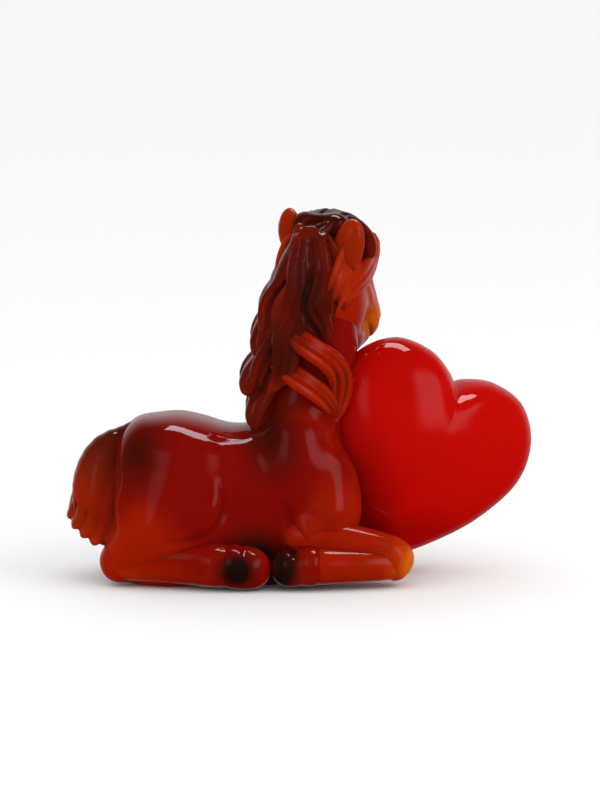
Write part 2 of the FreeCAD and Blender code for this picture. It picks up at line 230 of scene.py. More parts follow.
class Clay:
    """Block of voxels that a piece is modelled in: each voxel holds its distance to the skin, in mm."""

    def __init__(self, low, high, voxel):
        self.low = np.array(low, float)
        self.voxel = voxel
        counts = np.ceil((np.array(high, float) - self.low) / voxel).astype(int) + 1
        self.field = np.full(counts, FAR, np.float32)

    def block(self, low, high, margin):
        """The voxels between two corners, and their x, y and z as arrays that broadcast."""
        a = np.floor((np.array(low) - margin - self.low) / self.voxel).astype(int)
        b = np.ceil((np.array(high) + margin - self.low) / self.voxel).astype(int) + 1
        a = np.clip(a, 0, self.field.shape)
        b = np.clip(b, 0, self.field.shape)
        part = tuple(slice(i, j) for i, j in zip(a, b))
        axes = [self.low[i] + self.voxel * np.arange(a[i], b[i]) for i in range(3)]
        x, y, z = axes[0][:, None, None], axes[1][None, :, None], axes[2][None, None, :]
        return part, x.astype(np.float32), y.astype(np.float32), z.astype(np.float32)

    def merge(self, part, distance, soft, carve=False):
        """Adds a shape to the clay, or carves it away, with the join rounded over `soft`."""
        held = self.field[part]
        if held.size == 0:
            return
        if carve:
            self.field[part] = -blend_min(-held, distance, soft)
        else:
            self.field[part] = np.minimum(blend_min(held, distance, soft), FAR)

    def ball(self, centre, radii, soft=1.0, carve=False, turn=None):
        """Ellipsoid; `turn` is a 3x3 rotation from its own axes to the clay's."""
        centre, radii = np.array(centre, float), np.array(radii, float)
        reach = radii.max() if turn is not None else radii
        part, x, y, z = self.block(centre - reach, centre + reach, soft + 2 * self.voxel)
        x, y, z = x - centre[0], y - centre[1], z - centre[2]
        if turn is not None:
            m = np.array(turn, float)
            x, y, z = (m[0, i] * x + m[1, i] * y + m[2, i] * z for i in range(3))
        x, y, z = x / radii[0], y / radii[1], z / radii[2]
        k0 = np.sqrt(x * x + y * y + z * z)
        k1 = np.sqrt((x / radii[0]) ** 2 + (y / radii[1]) ** 2 + (z / radii[2]) ** 2)
        self.merge(part, k0 * (k0 - 1) / np.maximum(k1, 1e-4), soft, carve)

    def rod(self, path, soft=1.0, carve=False, steps=14, up=None, flat=1.0):
        """Tapered rod through rows of (x, y, z, radius); `flat` squeezes its section along `up`."""
        path = smooth_path(path, steps)
        reach = np.abs(path[:, 3:4]) + 0.1
        low, high = (path[:, :3] - reach).min(0), (path[:, :3] + reach).max(0)
        part, x, y, z = self.block(low, high, soft + 2 * self.voxel)
        near = None
        for (ax, ay, az, ar), (bx, by, bz, br) in zip(path[:-1], path[1:]):
            dx, dy, dz = bx - ax, by - ay, bz - az
            px, py, pz = x - ax, y - ay, z - az
            along = np.clip((px * dx + py * dy + pz * dz) / (dx * dx + dy * dy + dz * dz + 1e-9), 0, 1)
            px, py, pz = px - along * dx, py - along * dy, pz - along * dz
            square = px * px + py * py + pz * pz
            if up is not None:
                lift = px * up[0] + py * up[1] + pz * up[2]
                square = square + lift * lift * (1 / flat**2 - 1)
            distance = np.sqrt(square) - (ar + along * (br - ar))
            near = distance if near is None else np.minimum(near, distance)
        self.merge(part, near, soft, carve)

    def hull(self, axis, stations, soft=1.0, square=2.0):
        """Long body along an axis: rows of (place, centre 1, centre 2, half size 1, half size 2)."""
        rows = smooth_path(stations, 240)
        size = np.abs(rows[:, 3:5]).max(0)
        low, high = np.zeros(3), np.zeros(3)
        low[axis], high[axis] = rows[0, 0], rows[-1, 0]
        others = [i for i in range(3) if i != axis]
        for i, other in enumerate(others):
            low[other] = rows[:, 1 + i].min() - size[i]
            high[other] = rows[:, 1 + i].max() + size[i]
        part, *xyz = self.block(low, high, soft + 2 * self.voxel)
        at = np.clip(xyz[axis], rows[0, 0], rows[-1, 0])
        c1, c2, r1, r2 = (np.interp(at, rows[:, 0], rows[:, i]) for i in (1, 2, 3, 4))
        a, b = np.abs(xyz[others[0]] - c1), np.abs(xyz[others[1]] - c2)
        q = ((a / r1) ** square + (b / r2) ** square) ** (1 / square)
        steep = np.sqrt((a ** (square - 1) / r1**square) ** 2 + (b ** (square - 1) / r2**square) ** 2)
        distance = (q - 1) * np.maximum(q, 0.3) ** (square - 1) / np.maximum(steep, 1e-3)
        distance = np.clip(distance, -12, 12)
        beyond = np.abs(xyz[axis] - at)
        distance = np.where(beyond > 0, np.sqrt(np.maximum(distance, 0) ** 2 + beyond**2), distance)
        self.merge(part, distance.astype(np.float32), soft)

    def cut_below(self, height):
        """Grinds away everything below a height."""
        z = self.low[2] + self.voxel * np.arange(self.field.shape[2])
        self.field = np.maximum(self.field, (height - z)[None, None, :].astype(np.float32))

    def melt(self, rounds):
        """Softens creases the way fire-polishing does."""
        for _ in range(rounds):
            for axis in range(3):
                f = np.moveaxis(self.field, axis, 0)
                f[1:-1] = (f[:-2] + 2 * f[1:-1] + f[2:]) / 4

    def sample(self, points):
        """Distance held at each point."""
        at = (points - self.low) / self.voxel
        at = np.clip(at, 0, np.array(self.field.shape) - 1.001)
        k = at.astype(int)
        t = at - k
        total = 0
        for corner in range(8):
            pick = [(corner >> i) & 1 for i in range(3)]
            weight = np.prod([t[:, i] if pick[i] else 1 - t[:, i] for i in range(3)], axis=0)
            total = total + weight * self.field[k[:, 0] + pick[0], k[:, 1] + pick[1], k[:, 2] + pick[2]]
        return total

    def on_skin(self, side, rows):
        """Rows of (x, z, radius) laid on the outermost skin of one side."""
        out = np.arange(0, 19, 0.1)
        path = []
        for x, z, radius in rows:
            ray = np.column_stack([0 * out + x, side * out, 0 * out + z])
            path.append((x, side * out[self.sample(ray) < 0].max(), z, radius))
        return path

    def skin(self, rounds=3):
        """Points and four-sided faces of the surface, evened out a little."""
        grid = openvdb.FloatGrid(FAR)
        grid.copyFromArray(self.field)
        points, quads = grid.convertToQuads(isovalue=0.0)
        points = points * self.voxel + self.low
        a = np.concatenate([quads[:, i] for i in range(4)])
        b = np.concatenate([quads[:, (i + 1) % 4] for i in range(4)])
        a, b = np.concatenate([a, b]), np.concatenate([b, a])
        count = np.bincount(a, minlength=len(points))[:, None]
        for _ in range(rounds):
            for push in (0.5, -0.52):
                mean = np.stack([np.bincount(a, points[b, i], len(points)) for i in range(3)], 1) / count
                points = points + push * (mean - points)
        return points, quads.tolist()


def make_piece(name, points, faces, material, slot, nodes, clay, smoke, turn=None, start=None, light=None):
    """Puts a modelled skin in the scene: points in mm, moved by turn and start from the clay's own axes.

    `smoke` gives, for points in the frame, smoke tint or painted shade, and `light` painted light; crease
    shade is painted here too.
    """
    mesh = bpy.data.meshes.new(name)
    mesh.from_pydata((points * MM).tolist(), [], faces)
    mesh.validate()
    mesh.polygons.foreach_set("use_smooth", np.ones(len(mesh.polygons), bool))
    mesh.update()
    normals = np.empty(len(mesh.vertices) * 3)
    mesh.vertex_normals.foreach_get("vector", normals)
    normals = normals.reshape(-1, 3)
    painted_light, crease = np.zeros(len(points)), 0
    if clay is not None:
        # painted light where little glass lies beneath the skin
        solid = sum(np.clip(-clay.sample(points - normals * d) / d, 0, 1) for d in LIT_DEPTHS)
        painted_light = SKIN_LIGHT - SKIN_LIGHT * solid / len(LIT_DEPTHS)
        crease = np.clip(0.9 - clay.sample(points + normals * CREASE_REACH) / CREASE_REACH, 0, 1)
    if turn is not None:
        points = points @ np.array(turn).T + np.array(start)
        mesh.vertices.foreach_set("co", (points * MM).ravel())
        mesh.update()
    if light is not None:
        painted_light = painted_light + light(points)
    # darkness is smoke tint or painted shade, with the painted crease shade added
    darkness = np.clip(smoke(points) + CREASE_SHADE * crease, 0, 1)
    for key, values in (("thin", painted_light), ("smoke", darkness)):
        stored = mesh.attributes.new(key, "FLOAT", "POINT")
        stored.data.foreach_set("value", values.astype(np.float32))
    mesh.materials.append(material)
    piece = bpy.data.objects.new(name, mesh)
    scene.collection.objects.link(piece)
    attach(piece, "root")
    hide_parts(*nodes)


def near(points, centre, reach):
    """1 at a centre, fading to 0 at `reach` millimetres from it (one number, or one per axis)."""
    far = np.linalg.norm((points - np.array(centre)) / np.array(reach), axis=1)
    return np.clip(1 - far, 0, 1) ** 2 * (3 - 2 * np.clip(1 - far, 0, 1))


def socket(group, name, kind, value=None, out=False):
    """Adds one named input or output to a node group."""
    made = group.interface.new_socket(name, in_out="OUTPUT" if out else "INPUT", socket_type=kind)
    if value is not None:
        made.default_value = value


def attribute(tree, name):
    """Number stored on the points of a piece."""
    node = tree.nodes.new("ShaderNodeAttribute")
    node.attribute_name = name
    return node.outputs["Fac"]


def noise(tree, scale, detail, distortion=0.0):
    """Noise that is fixed to the piece."""
    place = tree.nodes.new("ShaderNodeTexCoord")
    node = tree.nodes.new("ShaderNodeTexNoise")
    for key, value in (("Vector", place.outputs["Object"]), ("Scale", scale), ("Detail", detail),
                       ("Distortion", distortion)):
        put(tree, node.inputs[key], value)
    return node.outputs["Fac"]


def cloudy_glass_group():
    """Colour of cloudy glass: deep where thick, bright where thin or painted with light, with slow swirls,
    smoke tint and painted shade.
    """
    group = bpy.data.node_groups.new("cloudy_glass", "ShaderNodeTree")
    for name in ("Deep", "Middle", "Thin", "Edge", "Smoke"):
        socket(group, name + " colour", "NodeSocketColor", (0.5, 0.1, 0.05, 1))
    socket(group, "Swirl", "NodeSocketFloat", 0.3)
    socket(group, "Swirl scale", "NodeSocketFloat", 90.0)
    socket(group, "Colour", "NodeSocketColor", out=True)
    given = group.nodes.new("NodeGroupInput").outputs
    result = group.nodes.new("NodeGroupOutput").inputs
    swirl = calculate(group, "SUBTRACT", noise(group, given["Swirl scale"], 3.0, 0.9), 0.5)
    # the thin attribute carries painted light: brighter where the glass is thin and where light is painted
    thin = calculate(group, "MULTIPLY_ADD", swirl, given["Swirl"], attribute(group, "thin"))
    body = given["Deep colour"]
    for name, start, end in (("Middle", 0.0, 0.42), ("Thin", 0.38, 0.8), ("Edge", 0.82, 1.5)):
        body = mix(group, ramp(group, thin, start, end), body, given[name + " colour"])
    # the smoke attribute carries smoke tint and painted shade
    smoke = calculate(group, "MULTIPLY_ADD", swirl, 0.9, attribute(group, "smoke"))
    smoke.node.use_clamp = True
    put(group, result["Colour"], mix(group, smoke, body, given["Smoke colour"]))
    return group


def fire_polish_group():
    """Polished skin: nearly mirror smooth, with faint pressing ripples and a little handling haze."""
    group = bpy.data.node_groups.new("fire_polish", "ShaderNodeTree")
    for name, value in (("Haze", 0.06), ("Ripple", 0.05), ("Ripple scale", 260.0)):
        socket(group, name, "NodeSocketFloat", value)
    socket(group, "Roughness", "NodeSocketFloat", out=True)
    socket(group, "Normal", "NodeSocketVector", out=True)
    given = group.nodes.new("NodeGroupInput").outputs
    result = group.nodes.new("NodeGroupOutput").inputs
    haze = calculate(group, "MULTIPLY_ADD", noise(group, 140.0, 4.0), given["Haze"], 0.02)
    put(group, result["Roughness"], haze)
    bump = group.nodes.new("ShaderNodeBump")
    bump.inputs["Distance"].default_value = 0.0006
    put(group, bump.inputs["Strength"], given["Ripple"])
    put(group, bump.inputs["Height"], noise(group, given["Ripple scale"], 1.0))
    put(group, result["Normal"], bump.outputs["Normal"])
    return group


cloudy_glass = cloudy_glass_group()
fire_polish = fire_polish_group()


def glass_material(name, deep, middle, thin, edge, smoke, swirl=0.3, swirl_scale=90.0, haze=0.07,
                   ripple=0.05, glow=(3.0, 0.6, 0.2), cloud=0.6):
    """Cloudy coloured glass; `glow` is how far red, green and blue light travel in it, in mm."""
    material = bpy.data.materials.new(name)
    material.use_nodes = True
    tree = material.node_tree
    shader = tree.nodes["Principled BSDF"]
    colour = tree.nodes.new("ShaderNodeGroup")
    colour.node_tree = cloudy_glass
    for key, value in (("Deep", deep), ("Middle", middle), ("Thin", thin), ("Edge", edge), ("Smoke", smoke)):
        colour.inputs[key + " colour"].default_value = (*value, 1)
    colour.inputs["Swirl"].default_value = swirl
    colour.inputs["Swirl scale"].default_value = swirl_scale
    polish = tree.nodes.new("ShaderNodeGroup")
    polish.node_tree = fire_polish
    polish.inputs["Haze"].default_value = haze
    polish.inputs["Ripple"].default_value = ripple
    put(tree, shader.inputs["Base Color"], colour.outputs["Colour"])
    put(tree, shader.inputs["Roughness"], polish.outputs["Roughness"])
    put(tree, shader.inputs["Normal"], polish.outputs["Normal"])
    shader.inputs["IOR"].default_value = 1.52
    shader.inputs["Subsurface Weight"].default_value = cloud
    shader.inputs["Subsurface Radius"].default_value = [g / glow[0] for g in glow]
    shader.inputs["Subsurface Scale"].default_value = glow[0] * MM
    return material


amber = glass_material("amber_glass", deep=(0.215, 0.0022, 0.0005), middle=(0.33, 0.0105, 0.0008),
                       thin=(0.42, 0.024, 0.001), edge=(0.56, 0.12, 0.003), smoke=(0.012, 0.004, 0.002),
                       swirl=0.9, swirl_scale=55.0)

body_low, body_high = corners("body")
rump = body_low[0]
chest = body_high[0]
haunch = body_high[1]

body_clay = Clay(body_low - 3, body_high + (3, 3, 5), 0.36)
# place, top, bottom, half width of the torso, from the rump forward
torso = [
    (rump + 0.2, 20.5, 6.0, 3.6), (rump + 1.6, 26.2, 1.6, 8.0), (rump + 4.6, 29.5, -2.0, 11.4),
    (rump + 9.0, 30.4, -3.0, 13.4), (rump + 13.0, 30.6, -3.0, 14.0), (rump + 17.0, 29.8, -3.0, 13.6),
    (rump + 21.0, 28.6, -3.0, 12.9), (rump + 26.0, 27.8, -3.0, 12.3), (rump + 33.0, 26.0, -3.0, 11.0),
    (chest - 6.0, 22.0, -3.0, 10.4), (chest - 2.6, 21.6, -1.0, 9.0), (chest - 0.6, 18.5, 3.0, 5.4),
]
body_clay.hull(0, [(x, 0, (top + low) / 2, wide, (top - low) / 2) for x, top, low, wide in torso],
               soft=0.5, square=3.0)
# height, middle x, middle y, half length, half width of the neck, from the chest up
body_clay.hull(2, [
    (12.0, 0.0, 0.0, 8.6, 9.6), (20.0, 0.2, 0.0, 8.8, 9.6), (27.0, 0.2, 0.0, 8.2, 8.4),
    (34.0, 0.8, 0.1, 7.7, 7.2), (42.0, 2.4, 0.3, 8.0, 6.5), (50.0, 3.0, 0.4, 6.8, 6.0),
    (57.0, 3.6, 0.5, 5.0, 5.2),
], soft=7.0, square=2.1)


def pitched(degrees):
    """Rotation that dips the nose of an ellipsoid by so many degrees, about the side-to-side axis."""
    return Matrix.Rotation(math.radians(degrees), 3, "Y")


for side in (-1, 1):
    body_clay.ball((rump + 10.8, side * (haunch - 6.6), 13.8), (10.0, 6.4, 8.8), soft=4.0, turn=pitched(14))
    body_clay.ball((rump + 17.4, side * (haunch - 3.9), 13.2), (4.0, 3.5, 6.2), soft=3.5, turn=pitched(28))
    body_clay.rod([(rump + 8.4, side * 10.6, 10.4, 5.0), (rump + 4.6, side * 9.2, 6.8, 4.4),
                   (rump + 2.3, side * 8.2, 4.8, 4.0), (rump + 2.0, side * 8.0, 4.2, 3.8)], soft=4.0)
    body_clay.ball((chest - 10.4, side * 7.9, 20.0), (6.4, 4.5, 11.0), soft=6.0, turn=pitched(-14))
    body_clay.ball((chest - 4.9, side * 6.8, 15.6), (5.4, 5.6, 9.6), soft=3.5)
    body_clay.rod([(chest - 5.2, side * 8.6, 13.0, 5.0), (chest - 5.6, side * 9.8, 8.4, 4.2)], soft=3.5)
    body_clay.ball((chest - 9.6, side * 11.0, 9.4), (3.6, 3.0, 4.4), soft=2.5)
    # hollow of the flank, then the creases round the thigh and behind the elbow
    body_clay.ball((rump + 23.6, side * 15.2, 14.6), (2.6, 2.8, 5.4), soft=3.0, carve=True)
    thigh_crease = [(rump + 20.4, 19.6, 0.1), (rump + 21.0, 17.0, 0.4), (rump + 21.0, 14.6, 0.6),
                    (rump + 20.0, 12.2, 0.7), (rump + 18.0, 10.2, 0.6), (rump + 14.0, 9.2, 0.5),
                    (rump + 9.0, 8.8, 0.2)]
    body_clay.rod(body_clay.on_skin(side, thigh_crease), soft=1.2, carve=True, steps=24)
    elbow_crease = [(chest - 13.0, 15.4, 0.1), (chest - 12.4, 12.8, 0.7), (chest - 11.4, 10.2, 0.9),
                    (chest - 10.2, 8.0, 0.6)]
    body_clay.rod(body_clay.on_skin(side, elbow_crease), soft=1.6, carve=True)
body_clay.cut_below(0.0)
body_clay.melt(1)


def body_painted_shade(p):
    """Painted shade pooled between the legs under the belly and on the neck under the mane; also darker over
    the loin beside the tail.
    """
    q = np.column_stack([p[:, 0], np.abs(p[:, 1]), p[:, 2]])
    under = near(q, (rump + 25.5, 12, 4.5), (12, 14, 9.5))
    mane = near(q, (chest - 16, 9, 28), (10, 14, 16))
    return 1.3 * under + 0.8 * mane + 0.75 * near(q, (rump + 6, 9, 24), (9, 12, 12))


def body_painted_light(p):
    """Painted light, brightest in the thigh, the hock and the chest."""
    q = np.column_stack([p[:, 0], np.abs(p[:, 1]), p[:, 2]])
    thigh = 0.6 * near(q, (rump + 7, 12, 7), (13, 14, 15)) + 0.4 * near(q, (rump + 0.5, 8, 4), (8, 9, 10))
    return thigh + 0.5 * near(q, (chest - 3, 8, 11), (10, 12, 16))


make_piece("horse_body", *body_clay.skin(), amber, "amber_glass", ["body"], body_clay, body_painted_shade,
           light=body_painted_light)

# ---- legs -----------------------------------------------------------------------------------------
# Folded legs, pressed in five pieces a side from the same amber and bonded along their creases: hock
# and cannon behind, forearm and cannon in front, and a hoof of smoke-darkened glass on each foot.
SIDES = ((-1, "right"), (1, "left"))


def mirror_path(path, side):
    """Right-hand rows of (x, distance out, z, radius) as a path on either side; side -1 is the right."""
    return [(x, side * out, z, r) for x, out, z, r in path]


def leg_clay(node, voxel=0.3):
    """Clay for a piece of leg, and the x of its back and front ends."""
    low, high = corners(node)
    return Clay(low - 2.5, high + 2.5, voxel), low[0], high[0]


def no_smoke(p):
    """Clear of smoke everywhere."""
    return 0 * p[:, 0]


def leg_piece(part, name, clay, slot, smoke, light=None, floor=0.0):
    """Grinds a piece of leg flat underneath, polishes it and puts it in the scene."""
    clay.cut_below(floor)
    clay.melt(1)
    make_piece(part + "_of_" + name, *clay.skin(), amber, slot, [part + "_" + name], clay, smoke, light=light)


for side, name in SIDES:
    # hind cannon: comes out of the hock and lies along the table
    clay, heel, fetlock = leg_clay("hind_cannon_" + name)
    clay.rod(mirror_path([
        (heel + 4.0, 8.4, 5.0, 4.0), (heel + 9.6, 9.4, 5.2, 4.4), (heel + 16.6, 11.0, 5.0, 4.4),
        (fetlock - 3.0, 12.6, 4.6, 4.1), (fetlock + 0.4, 13.2, 4.3, 3.7),
    ], side), soft=0.5)
    # painted light runs along the cannon's underside toward the heel; its smoke is the hoof's dark tint
    # spreading up
    leg_piece("hind_cannon", name, clay, "amber_glass",
              lambda p: 1.3 * near(p, (fetlock + 1.4, side * 17, 4.2), 5.6),
              lambda p: 0.12 + 0.6 * near(p, (heel + 6, side * 12, 1.5), (20, 12, 9)))

    # hind hoof: a round fetlock running into a blunt hoof
    clay, joint, toe = leg_clay("hind_hoof_" + name, 0.26)
    clay.ball((joint + 2.0, side * 13.3, 4.4), (4.4, 3.9, 4.0))
    clay.ball((toe - 3.7, side * 13.4, 4.0), (3.8, 3.5, 3.7), soft=2.5)
    clay.rod([(joint + 4.2, side * 9.8, 7.4, 0.3), (joint + 3.6, side * 13.5, 8.9, 0.45),
              (joint + 4.2, side * 17.0, 6.6, 0.35)], soft=1.4, carve=True)
    leg_piece("hind_hoof", name, clay, "dark_glass",
              lambda p: 1.3 * near(p, (joint + 2.6, side * 17, 4.2), 5.6))

    # forearm: from the elbow to the blunt knee
    clay, elbow, knee = leg_clay("forearm_" + name)
    clay.rod(mirror_path([
        (elbow + 1.4, 10.6, 9.4, 3.0), (elbow + 6.0, 10.9, 9.2, 3.5), (elbow + 11.6, 10.7, 8.2, 3.3),
        (knee - 5.4, 10.3, 6.8, 3.0), (knee - 3.2, 10.0, 5.4, 2.8),
    ], side), soft=0.5)
    clay.ball((knee - 3.8, side * 9.9, 4.9), (2.9, 3.4, 3.8), soft=2.0)
    # painted light: a yellow glow at the blunt knee
    leg_piece("forearm", name, clay, "amber_glass", no_smoke,
              lambda p: 0.25 + 1.5 * near(p, (knee + 0.4, side * 11, 4.0), 8), floor=0.4)

    # fore cannon: folded back under the forearm
    clay, fold, knee = leg_clay("fore_cannon_" + name)
    clay.rod(mirror_path([
        (fold + 1.6, 13.0, 4.5, 3.5), (fold + 5.4, 12.3, 4.5, 3.3), (fold + 10.4, 11.4, 4.4, 3.1),
        (knee - 3.4, 10.4, 4.2, 2.7),
    ], side), soft=0.5)
    # painted light: a yellow glow at the blunt knee
    leg_piece("fore_cannon", name, clay, "amber_glass", no_smoke,
              lambda p: 0.3 + 1.5 * near(p, (knee + 0.4, side * 11, 4.0), 8))

    # fore hoof: pastern and hoof, tucked against the hind hoof
    clay, toe, joint = leg_clay("fore_hoof_" + name, 0.26)
    clay.ball((joint - 1.9, side * 13.3, 4.5), (3.1, 3.6, 3.7))
    clay.ball((toe + 3.5, side * 13.2, 4.2), (3.6, 3.4, 3.6), soft=2.2)
    clay.rod([(toe + 4.4, side * 9.8, 6.4, 0.3), (toe + 4.0, side * 13.5, 7.4, 0.4),
              (toe + 4.6, side * 17.0, 6.0, 0.3)], soft=1.4, carve=True)
    # dark at the toe: smoke-darkened glass, deepened by painted shade in the gap against the hind hoof
    leg_piece("fore_hoof", name, clay, "dark_glass",
              lambda p: 2.2 * near(p, (toe + 0.5, side * 14, 5.0), (7.5, 9, 7.5)))

# ---- head -----------------------------------------------------------------------------------------
# The head is pressed by itself: broad cheeks, a straight nose with a soft bridge, flared nostrils
# and a closed mouth.  It is bonded to the neck behind the jaw and its chin rests on the heart.
HEAD_PITCH = 46.0
EYE_AHEAD, EYE_UP = 5.6, 2.4        # eyes from the middle of the skull, along the nose and up

eyes = [sum(corners(node)) / 2 for node in ("eye_left", "eye_right")]
leftward = (eyes[0] - eyes[1]) / np.linalg.norm(eyes[0] - eyes[1])
level = np.array([leftward[1], -leftward[0], 0])
dip = math.radians(HEAD_PITCH)
nose = level * math.cos(dip) - np.array([0, 0, math.sin(dip)])
brow = np.cross(nose, leftward)
head_turn = np.stack([nose, leftward, brow], axis=1)
poll = (eyes[0] + eyes[1]) / 2 - nose * EYE_AHEAD - brow * EYE_UP
eye_out = np.linalg.norm(eyes[0] - eyes[1]) / 2

# the head's own axes: along the nose, to its left, and up through the forehead; first the skull,
# the bridge of the nose, the muzzle, the lips and the jaw
head_clay = Clay((-9, -10, -13), (26, 10, 12), 0.24)
head_clay.ball((0.2, 0, 0.6), (6.4, 6.3, 6.4))
head_clay.ball((5.2, 0, 2.8), (5.8, 5.2, 3.6), soft=2.5)
head_clay.rod([(5.0, 0, 1.8, 4.6), (11.0, 0, 2.0, 4.5), (17.0, 0, 1.6, 3.5)], soft=2.5)
head_clay.rod([(5.0, 0, -1.2, 5.6), (11.0, 0, -0.6, 5.2), (17.0, 0, 0.0, 4.0)], soft=2.5)
head_clay.ball((17.6, 0, 0.6), (3.8, 4.0, 3.7), soft=2.0)
head_clay.ball((19.6, 0, 0.3), (1.9, 2.9, 2.4), soft=1.5)
head_clay.ball((17.4, 0, -2.6), (2.9, 2.6, 1.7), soft=1.2)
head_clay.rod([(4.0, 0, -5.0, 4.8), (10.0, 0, -5.4, 4.6), (14.6, 0, -5.3, 4.4), (17.4, 0, -2.9, 3.2)],
              soft=2.5)
for side in (-1, 1):
    head_clay.rod([(7.0, side * 3.4, 3.2, 2.0), (12.0, side * 3.0, 2.4, 1.9), (16.0, side * 2.7, 1.8, 1.8)],
                  soft=2.5)
    head_clay.ball((6.8, side * 3.0, -4.4), (6.8, 3.9, 6.4), soft=2.5)
    head_clay.rod([(3.6, side * 5.1, 4.2, 0.8), (5.8, side * 5.3, 4.7, 1.1), (8.4, side * 4.6, 3.8, 0.7)],
                  soft=1.8)
    head_clay.rod([(7.2, side * 5.0, 0.9, 0.7), (10.8, side * 4.7, 0.7, 1.0), (14.6, side * 3.9, 0.8, 0.6)],
                  soft=1.8)
    head_clay.ball((15.0, side * 5.2, -2.0), (2.4, 1.4, 1.8), soft=2.0, carve=True)
    # the eye socket and its lids
    head_clay.ball((EYE_AHEAD, side * (eye_out + 0.9), EYE_UP), (1.7, 1.3, 1.4), soft=1.2, carve=True)
    head_clay.rod([(EYE_AHEAD - 1.9, side * (eye_out + 0.1), EYE_UP - 0.1, 0.35),
                   (EYE_AHEAD, side * (eye_out + 0.45), EYE_UP + 1.3, 0.5),
                   (EYE_AHEAD + 2.0, side * eye_out, EYE_UP - 0.1, 0.35)], soft=0.7)
    head_clay.rod([(EYE_AHEAD - 1.8, side * (eye_out + 0.1), EYE_UP - 0.2, 0.3),
                   (EYE_AHEAD, side * (eye_out + 0.4), EYE_UP - 1.2, 0.4),
                   (EYE_AHEAD + 1.9, side * eye_out, EYE_UP - 0.2, 0.3)], soft=0.7)
    # the nostril
    head_clay.ball((18.4, side * 2.8, 1.8), (1.9, 1.3, 1.6), soft=1.4)
    head_clay.ball((19.5, side * 3.9, 1.9), (1.2, 0.8, 0.7), soft=0.8, carve=True)
# the line of the mouth
head_clay.rod([(15.8, -4.0, -1.1, 0.3), (19.0, -3.2, -1.4, 0.35), (21.7, 0, -1.0, 0.4),
               (19.0, 3.2, -1.4, 0.35), (15.8, 4.0, -1.1, 0.3)], soft=0.9, carve=True, steps=30)
head_clay.melt(1)
# painted light lifts the whole head and is brightest at the near side of the muzzle
make_piece("horse_head", *head_clay.skin(), amber, "amber_glass", ["head"], head_clay,
           lambda p: 0.8 * near(p, poll + (-2, 0, 4), 9), head_turn, poll,
           lambda p: 0.35 + 1.0 * near(p, poll + nose * 17 - leftward * 5, 9))

# ---- eyes -----------------------------------------------------------------------------------------
# Two drops of near-black glass, pressed into the sockets while the head is hot.  The cheek locks and
# the mane all but cover them.
smoke_glass = glass_material("smoke_glass", deep=(0.010, 0.004, 0.003), middle=(0.02, 0.006, 0.004),
                             thin=(0.05, 0.012, 0.006), edge=(0.08, 0.02, 0.01),
                             smoke=(0.004, 0.003, 0.003), haze=0.03, ripple=0.0, glow=(0.6, 0.3, 0.2),
                             cloud=0.2)
for side, name in SIDES:
    clay = Clay((-2.5, -2.5, -2.5), (2.5, 2.5, 2.5), 0.1)
    clay.ball((0, 0, 0), (1.5, 1.0, 1.25))
    clay.rod([(-1.5, 0, 0, 0.1), (0, side * 0.9, 0.1, 0.25), (1.5, 0, 0, 0.1)], soft=0.5)
    centre = np.array([EYE_AHEAD, side * (eye_out - 0.6), EYE_UP])
    make_piece("eye_drop_" + name, *clay.skin(), smoke_glass, "dark_glass", ["eye_" + name], clay,
               no_smoke, head_turn, poll + head_turn @ centre)

# ---- ears -----------------------------------------------------------------------------------------
# Upright leaf-shaped ears of the same amber, hollowed in front and drawn thin enough for the light to
# come through, each bonded to the top of the skull.
EAR_HEIGHT = 7.2
upright = head_turn.T @ np.array([0, 0, 1.0])
# share of the height, half width and backward bow of the leaf
leaf = [(0.0, 2.2, 0.0), (0.22, 2.7, 0.3), (0.5, 2.8, 0.5), (0.75, 2.2, 0.3), (0.92, 1.2, 0.0),
        (1.0, 0.4, -0.2)]

for side, name in SIDES:
    clay = Clay((-9, -12, -3), (7, 12, 14), 0.18)
    root = np.array([-1.5, side * 5.8 - 0.4, -0.4 + 0.9 * side])
    lift = upright + np.array([0.04, side * 0.18, 0])
    lift /= np.linalg.norm(lift)
    front = np.array([1.0, -0.3 * side, 0.0])
    front -= lift * (front @ lift)
    front /= np.linalg.norm(front)
    blade = [(*(root + lift * EAR_HEIGHT * t - front * bow), r) for t, r, bow in leaf]
    clay.rod(blade, soft=0.5, up=front, flat=0.55)
    hollow = [(*(root + lift * EAR_HEIGHT * t + front * 1.7), r * 0.6) for t, r, bow in leaf[1:5]]
    clay.rod(hollow, soft=0.8, carve=True)
    clay.melt(1)
    make_piece("ear_leaf_" + name, *clay.skin(), amber, "amber_glass", ["ear_" + name], clay,
               lambda p: 0.25 + 0.5 * near(p, poll + (0, 0, 2), 8), head_turn, poll)

# ---- heart ----------------------------------------------------------------------------------------
# A puffed heart of strong red glass, pressed solid and polished all over, leaning on the horse's
# chest.  Its cleft is a short crease that fades out down each face.
HEART_WIDTH, HEART_HEIGHT, HEART_DEPTH = 41.0, 40.4, 20.4
HEART_YAW, HEART_LEAN = 16.0, 28.4
CLEFT_WIDTH, CLEFT_DEPTH = 2.8, 0.45
ROUND_STEPS, RISE_STEPS = 260, 64

red = glass_material("red_glass", deep=(0.47, 0.0022, 0.0008), middle=(0.52, 0.004, 0.001),
                     thin=(0.60, 0.006, 0.002), edge=(0.70, 0.02, 0.004), smoke=(0.10, 0.0, 0.001),
                     swirl=0.15, swirl_scale=60.0, haze=0.05, ripple=0.02, glow=(2.0, 0.2, 0.15),
                     cloud=0.4)

